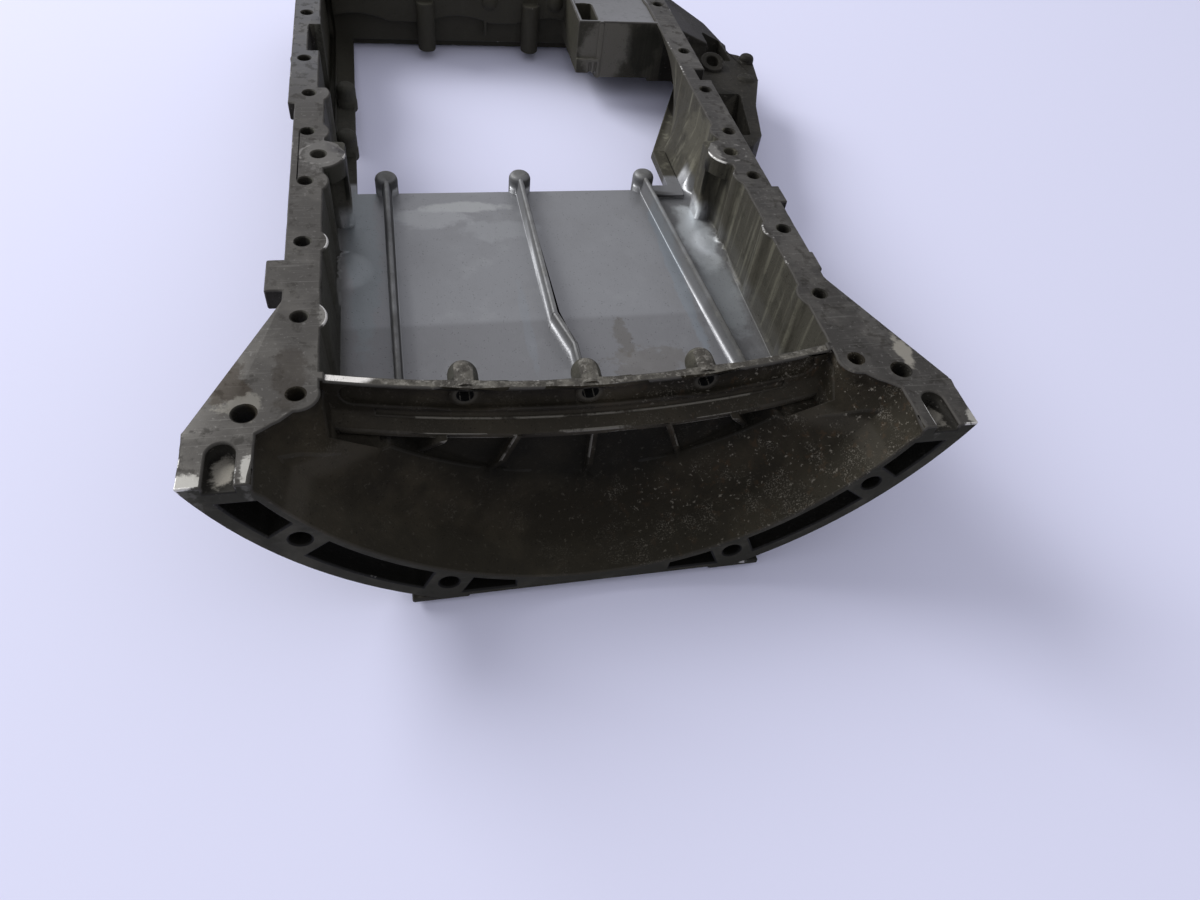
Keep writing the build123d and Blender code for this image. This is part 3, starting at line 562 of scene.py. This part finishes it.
for side in (-1, 1):
    # the ring that the engine block's dowel boss has pressed into the flange
    away = made.vector("DISTANCE", place, (side * zones["dowelPlace"], 0.0, 0.0))
    ring = made.ramp(made.sum("ABSOLUTE", made.sum("SUBTRACT", away, zones["dowelRing"])), 0.0010, 0.0003)
    broken = made.ramp(made.noise(place, 260.0, 3.0), 0.46, 0.58)
    base = made.mix(made.sum("MULTIPLY", made.sum("MULTIPLY", ring, broken), 0.7), base, finish["faceLight"])
fromBox = made.sum("ABSOLUTE", made.sum("SUBTRACT", x, zones["boxMiddle"]))
box = made.ramp(fromBox, zones["boxHalf"], zones["boxHalf"] - 0.002)
box = made.sum("MULTIPLY", made.ramp(y, zones["boxRear"] - 0.003, zones["boxRear"]), box)
base = made.mix(made.sum("MULTIPLY", box, 0.9), base, finish["lidColour"])
vertical = made.ramp(y, zones["bellFace"] + 0.0012, zones["bellFace"] + 0.0004)
vertical = made.sum("MULTIPLY", vertical, made.ramp(z, -0.0004, -0.0012))
bellFace = made.mix(made.sum("MULTIPLY", cloud, 0.5), finish["bellFaceColour"], finish["bellFaceStain"])
base = made.mix(made.sum("MULTIPLY", vertical, 0.85), base, bellFace)
made.feed(shader.inputs["Base Color"], base)
flatRough = made.sum("ADD", 0.42, made.sum("MULTIPLY", dirt, 0.25))
made.feed(shader.inputs["Roughness"], made.blend(vertical, flatRough, 0.85))
made.feed(shader.inputs["Metallic"], made.sum("MULTIPLY", made.sum("SUBTRACT", 1.0, vertical), 0.40))
shader.inputs["Specular IOR Level"].default_value = 0.15
grain = made.group(groups["castGrain"], Place=place, Scale=1.6)
height = made.sum("SUBTRACT", made.sum("MULTIPLY", grain["Height"], 0.35), made.sum("MULTIPLY", lines, 0.5))
bumped(made, shader, height, 0.5, 0.0003)

# Rounded edges, rubbed bright in places. wornMarks holds x, y, z and reach of the brightest places
wornMarks = (
    (-0.1050, 0.0020, 0.0, 0.012), (0.1080, -0.0030, 0.0, 0.013), (-0.1140, -0.1330, 0.0, 0.010),
    (-0.1130, -0.0780, 0.0, 0.008), (0.1210, -0.1910, 0.0, 0.010), (-0.1660, -0.2190, 0.0, 0.012),
    (-0.1400, -0.2200, 0.0, 0.010), (0.1660, -0.2220, 0.0, 0.010), (0.1470, -0.2180, 0.0, 0.010),
    (-0.0620, -0.1740, -0.001, 0.020),
)
worn, made, shader, place = material("wornEdge")
colour, rough, metal, zone = castColour(made, place)
z = made.split(place)[2]
flange = made.ramp(z, -0.0035, -0.0015)
cover = made.blend(flange, 0.30, 0.34)
shelf = made.ramp(z, zones["shelfTop"], zones["shelfTop"] - 0.0025)
shelf = made.sum("MULTIPLY", shelf, made.ramp(z, -0.0480, -0.0400))
shelf = made.sum("MULTIPLY", shelf, zone["Bell"])
fromCrank = made.offLine(place, 0.0, zones["crankHeight"])
shelf = made.sum("MULTIPLY", shelf, made.ramp(fromCrank, zones["shelfReach"], zones["shelfReach"] - 0.004))
cover = made.blend(zone["Bell"], cover, made.blend(shelf, 0.10, 0.68))
for spotX, spotY, spotZ, reach in wornMarks:
    near = made.vector("DISTANCE", place, (spotX, spotY, spotZ))
    cover = made.sum("ADD", cover, made.sum("MULTIPLY", made.ramp(near, reach, 0.5 * reach), 0.35))
wear = made.group(groups["edgeWear"], Place=place, Cover=cover)["Mask"]
dull = made.mix(flange, colour, finish["dullEdge"])
bright = made.mix(zone["Bell"], finish["bareMetal"], finish["bellEdge"])
bright = made.mix(zone["Floor"], bright, finish["bayEdge"])
made.feed(shader.inputs["Base Color"], made.mix(wear, dull, bright))
made.feed(shader.inputs["Roughness"], made.blend(wear, 0.65, made.blend(zone["Floor"], 0.42, 0.64)))
made.feed(shader.inputs["Metallic"], made.blend(wear, 0.1, 0.5))
shader.inputs["Specular IOR Level"].default_value = 0.2
grain = made.group(groups["castGrain"], Place=place, Scale=1.3)
bumped(made, shader, grain["Height"], 0.8, 0.0005)

# The rim of the cross wall: rough, pale, with one bright pad at its left end
rimMarks = [
    ((0.66, 0.64, 0.61), 0.97, (-0.1062, -0.1713, -0.001), (0.0125, 0.0062, 0.02), 0.22, 260.0),
]
rim, made, shader, place = material("roughRim")
cloud = stained(made, place, 110.0, 0.42, 0.62)
specks = stained(made, place, 420.0, 0.52, 0.62)
base = made.mix(cloud, finish["rimColour"], finish["rimStain"])
base = made.mix(made.sum("MULTIPLY", specks, 0.6), base, finish["rimSpeck"])
base = marked(made, place, base, rimMarks)
made.feed(shader.inputs["Base Color"], base)
shader.inputs["Roughness"].default_value = 0.62
shader.inputs["Metallic"].default_value = 0.15
shader.inputs["Specular IOR Level"].default_value = 0.3
grain = made.group(groups["castGrain"], Place=place, Scale=1.2)
bumped(made, shader, grain["Height"], 0.9, 0.0008)
print("materials", len(bpy.data.materials))


# The casting: the frame's own mesh, welded, sorted into finishes, its sharp edges rounded
casting = {
    "level": 0.97,  # least part of a machined face's normal along its own axis
    "rimHalf": 0.118,  # the cross wall's rim on x
    "rimFront": -0.140,
    "rimLevel": 0.8,
    "rimDepth": 0.010,
    "rimThickness": 0.012,
    "lidSpan": (0.055, 0.118),
    "lidDepth": 0.0025,
    "sharpAngle": 26,
    "edgeRound": 0.0009,
    "smallEdgeRound": 0.0003,
    "leastLength": 0.4,  # of an edge to be rounded, in widths of its rounding
    "leastRoom": (1.2, 2.3),  # and of a neighbour that ends free or at another rounded edge
    "chipDepth": 0.00035,
    "chipSpacing": 0.004,
    "chipWaves": 160,
    "chipBias": 0.15,
    "chipSeed": 7,
    "holeAcross": 0.0125,
    "bossReach": 0.0086,  # edges this near to a boss of the cross wall stay sharp
    "strayLimit": 0.0006,
    "strayReach": 0.0025,
    "strayTries": 5,
}
skinSlot, faceSlot, rimSlot, wornSlot = range(4)
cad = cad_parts["upper_oil_pan"]
mesh = cad.data.copy()
mesh.materials.clear()
for entry in (castSkin, machined, rim, worn):
    mesh.materials.append(entry)
pan = bpy.data.objects.new("oilPan", mesh)
bpy.context.scene.collection.objects.link(pan)
work = bmesh.new()
work.from_mesh(mesh)
bmesh.ops.remove_doubles(work, verts=work.verts, dist=0.00001)
bmesh.ops.dissolve_limit(work, angle_limit=math.radians(1), verts=work.verts, edges=work.edges)


def finishSlot(face):
    # flat tops, the bell's face and the lid are machined, and the cross wall has its own rim
    centre, normal = face.calc_center_median(), face.normal
    x, y, z = centre
    fromBow = math.hypot(x, y - zones["bowAxis"])
    behindRim = fromBow < zones["bowRadius"] + casting["rimThickness"]
    onRim = behindRim and abs(x) < casting["rimHalf"] and y < casting["rimFront"] and z > -casting["rimDepth"]
    lidLeft, lidRight = casting["lidSpan"]
    onLid = y > zones["boxRear"] + 0.001 and lidLeft < x < lidRight and z > -casting["lidDepth"]
    if normal.z > casting["level"] and (z > -0.0003 or onLid):
        return faceSlot
    if normal.y < -casting["level"] and y < zones["bellFace"] + 0.0005:
        return faceSlot
    if normal.z > casting["rimLevel"] and onRim:
        return rimSlot
    return skinSlot


for face in work.faces:
    face.smooth = True
    face.material_index = finishSlot(face)


def byBoss(spot):
    # whether a point lies at one of the cross wall's three bosses
    rear, front = zones["bossSpan"]
    if not rear < spot.y < front:
        return False
    away = min(math.hypot(spot.x - x, spot.z + zones["bossDepth"]) for x in zones["bossPlaces"])
    return away < casting["bossReach"]


def strays():
    # corners of the triangles that left the surface, where a rounded outline crossed itself
    spots = set()
    for loops in work.calc_loop_triangles():
        corners = [loop.vert.co for loop in loops]
        middle = sum(corners, Vector()) / 3
        points = [middle] + [(middle + corner) / 2 for corner in corners]
        away = max(surface.find_nearest(point)[3] for point in points)
        if away > casting["strayLimit"]:
            spots.update(corner.to_tuple(6) for corner in corners)
    return spots


def staysSharp(spot):
    return byBoss(spot) or bool(leftSharp) and sharpTree.find_range(spot, casting["strayReach"]) != []


def sharpEdges(width):
    # outer sharp edges that can be rounded this wide without their neighbours meeting
    least = math.radians(casting["sharpAngle"])
    freeRoom, busyRoom = casting["leastRoom"]
    shared = [edge for edge in work.edges if len(edge.link_faces) == 2]
    outer = [edge for edge in shared if edge.calc_face_angle_signed(0) > least]
    found = set(outer)
    kept = []
    for edge in outer:
        fits = edge.calc_length() > casting["leastLength"] * width
        fits = fits and not any(staysSharp(corner.co) for corner in edge.verts)
        for corner in edge.verts:
            for other in corner.link_edges:
                if other in found or other is edge:
                    continue
                far = other.other_vert(corner)
                busy = any(near in found for near in far.link_edges)
                fits = fits and other.calc_length() > (busyRoom if busy else freeRoom) * width
        if fits:
            kept.append(edge)
    return kept


def holeEdges(edges):
    # those of the edges that close into a ring no wider than a bolt hole
    left, rings = set(edges), set()
    while left:
        ring, reach = set(), [left.pop()]
        while reach:
            edge = reach.pop()
            ring.add(edge)
            for corner in edge.verts:
                for other in corner.link_edges:
                    if other in left:
                        left.discard(other)
                        reach.append(other)
        spots = [corner.co for edge in ring for corner in edge.verts]
        spread = [max(along) - min(along) for along in zip(*spots)]
        if max(spread) < casting["holeAcross"]:
            rings |= ring
    return rings


def onFlange(face):
    return face.material_index == faceSlot and face.normal.z > 0.9


def chipFlange():
    # short lengths of the flange's straight edges, each set back a little from the true line
    edges = sharpEdges(casting["edgeRound"])
    edges = [edge for edge in edges if any(onFlange(face) for face in edge.link_faces)]
    edges = [edge for edge in edges if edge.calc_length() > 2 * casting["chipSpacing"]]
    moved = set()
    for edge in edges:
        side = min(edge.link_faces, key=lambda face: face.normal.z).normal.copy()
        cuts = int(edge.calc_length() / casting["chipSpacing"])
        made = bmesh.ops.subdivide_edges(work, edges=[edge], cuts=cuts)
        for corner in made["geom_inner"]:
            if isinstance(corner, bmesh.types.BMVert) and corner not in moved:
                moved.add(corner)
                spot = corner.co * casting["chipWaves"] + Vector((casting["chipSeed"], 0, 0))
                depth = max(0.0, noise.noise(spot) + casting["chipBias"])
                flat = Vector((side.x, side.y, 0)).normalized()
                corner.co -= flat * depth * casting["chipDepth"]
    print("chipped", len(moved))


def roundEdges(width):
    # worn edges get the bright finish, and the rims of holes keep the skin's
    edges = sharpEdges(width)
    rings = holeEdges(edges)
    outline = [edge for edge in edges if edge not in rings]
    closed = [edge for edge in edges if edge in rings]
    for chosen, slot in ((outline, wornSlot), (closed, skinSlot)):
        bmesh.ops.bevel(
            work, geom=chosen, offset=width, offset_type="OFFSET", affect="EDGES", segments=2,
            profile=0.5, material=slot, clamp_overlap=False, loop_slide=True,
        )
    print("rounded", width, len(edges), len(rings))


# Rounded again with more edges left sharp, until no triangle strays
surface = BVHTree.FromBMesh(work)
leftSharp, sharpTree = set(), None
chipFlange()
plain = work
for attempt in range(casting["strayTries"]):
    work = plain.copy()
    roundEdges(casting["edgeRound"])
    roundEdges(casting["smallEdgeRound"])
    found = strays()
    print("strays", attempt, len(found))
    if not found:
        break
    if attempt < casting["strayTries"] - 1:
        work.free()
    leftSharp |= found
    sharpTree = KDTree(len(leftSharp))
    for number, spot in enumerate(sorted(leftSharp)):
        sharpTree.insert(spot, number)
    sharpTree.balance()
plain.free()
for face in work.faces:
    face.smooth = True
work.normal_update()
work.to_mesh(mesh)
work.free()
print("casting", len(mesh.polygons))

shade = pan.modifiers.new("evenNormals", "WEIGHTED_NORMAL")
shade.keep_sharp = True
shade.weight = 100

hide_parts("upper_oil_pan")
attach(pan, "root")

# Floor, light and camera. The pan lies on the underside of its bell and on its front end, and restsOn
# holds y and z of both
surroundings = {
    "floorColour": (0.68, 0.69, 0.86),
    "floorHalf": 6,
    "restsOn": ((-0.2017, -0.0995), (0.2543, -0.0495)),
    "skyColour": (0.94, 0.94, 1.0),
    "skyStrength": 0.655,
    "lampWatts": 124,
    "lampSize": 1.8,
    "lampPlace": (-2.45, 1.65, 2.05),
}
cameraValues = {
    "lens": 24.816,
    "sensorWidth": 36,
    "place": (-0.0768, -0.4300, 0.2528),
    "turn": (40.4116, -6.2742, -11.3695),
}
(nearY, nearZ), (farY, farZ) = surroundings["restsOn"]
floorSlope = math.atan2(farZ - nearZ, farY - nearY)
floorMesh = bpy.data.meshes.new("floor")
work = bmesh.new()
bmesh.ops.create_grid(work, x_segments=1, y_segments=1, size=surroundings["floorHalf"])
bmesh.ops.rotate(work, verts=work.verts, cent=(0, 0, 0), matrix=Matrix.Rotation(floorSlope, 3, "X"))
bmesh.ops.translate(work, verts=work.verts, vec=(0, nearY, nearZ))
work.to_mesh(floorMesh)
work.free()
floor = bpy.data.objects.new("floor", floorMesh)
bpy.context.scene.collection.objects.link(floor)
floorFinish, made, shader, place = material("floor")
shader.inputs["Base Color"].default_value = (*surroundings["floorColour"], 1)
shader.inputs["Roughness"].default_value = 0.8
shader.inputs["Specular IOR Level"].default_value = 0.1
floorMesh.materials.append(floorFinish)

cameraData = bpy.data.cameras.new("camera")
camera = bpy.data.objects.new("camera", cameraData)
bpy.context.scene.collection.objects.link(camera)
cameraData.lens = cameraValues["lens"]
cameraData.sensor_width = cameraValues["sensorWidth"]
camera.location = cameraValues["place"]
camera.rotation_euler = [math.radians(angle) for angle in cameraValues["turn"]]
bpy.context.scene.camera = camera

world = bpy.data.worlds.new("world")
world.use_nodes = True
background = world.node_tree.nodes["Background"]
background.inputs["Color"].default_value = (*surroundings["skyColour"], 1)
background.inputs["Strength"].default_value = surroundings["skyStrength"]
bpy.context.scene.world = world

lamp = bpy.data.lights.new("softLamp", "AREA")
lamp.energy = surroundings["lampWatts"]
lamp.size = surroundings["lampSize"]
lampObject = bpy.data.objects.new("softLamp", lamp)
lampObject.location = surroundings["lampPlace"]
lampObject.rotation_euler = (Vector((0, 0, 0)) - lampObject.location).to_track_quat("-Z", "Y").to_euler()
bpy.context.scene.collection.objects.link(lampObject)
bpy.context.scene.view_settings.view_transform = "Standard"
